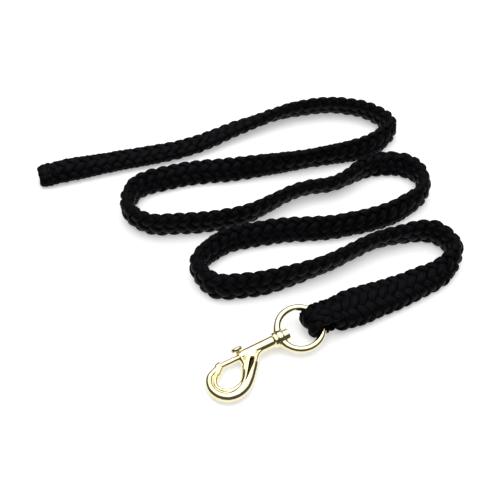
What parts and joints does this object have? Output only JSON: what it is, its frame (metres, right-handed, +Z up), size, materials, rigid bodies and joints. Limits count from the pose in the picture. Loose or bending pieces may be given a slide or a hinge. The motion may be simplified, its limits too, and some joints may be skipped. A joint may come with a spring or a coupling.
{
  "type": "lead rope",
  "caption": "Black flat-braided lead rope laid in loose bends, spliced round the ring of a brass swivel bolt snap, with a melted hand end.",
  "frame": {"origin": "below the middle of the snap, on the surface that the rope and snap lie on", "axes": "+X along the snap's barrel from the hook to the ring, rising 4.2 degrees, +Y to the knob's side, +Z up"},
  "size_m": [0.3552, 0.3258, 0.0239],
  "materials": {
    "braid": "soft black multifilament braid, slight sheen",
    "melted_braid": "braid end melted smooth and hard",
    "plated_ring": "polished pale brass plating",
    "plated_post": "polished pale brass plating",
    "plated_body": "mirror-polished pale brass plating",
    "plated_bolt": "polished pale brass plating, rubbed along its length",
    "spring_steel": "drawn wire"
  },
  "bodies": {
    "rope": {"rope": "braid", "sealed_end": "melted_braid", "rope_splice": "braid", "rope_eye": "braid"},
    "ring": {"swivel_ring": "plated_ring"},
    "snap": {"snap_body": "plated_body", "swivel_post": "plated_post"},
    "bolt": {"bolt": "plated_bolt", "thumb_knob": "plated_post", "bolt_spring": "spring_steel"}
  },
  "joints": [
    {"name": "ring_swing", "type": "hinge", "parent": "rope", "child": "ring", "pos_m": [0.05345, 0.00565, 0.012], "axis": [-0.0152, 0.9781, 0.2073], "range_deg": [-95, 95]},
    {"name": "snap_swivel", "type": "hinge", "parent": "ring", "child": "snap", "pos_m": [0.01605, 0.00565, 0.00925], "axis": [0.9973, 0, 0.0732], "continuous": true},
    {"name": "bolt_slide", "type": "slide", "parent": "snap", "child": "bolt", "axis": [0.9973, 0, 0.0732], "range_m": [0, 0.016], "stiffness_N_per_m": 500, "deforming": ["bolt_spring"]}
  ]
}
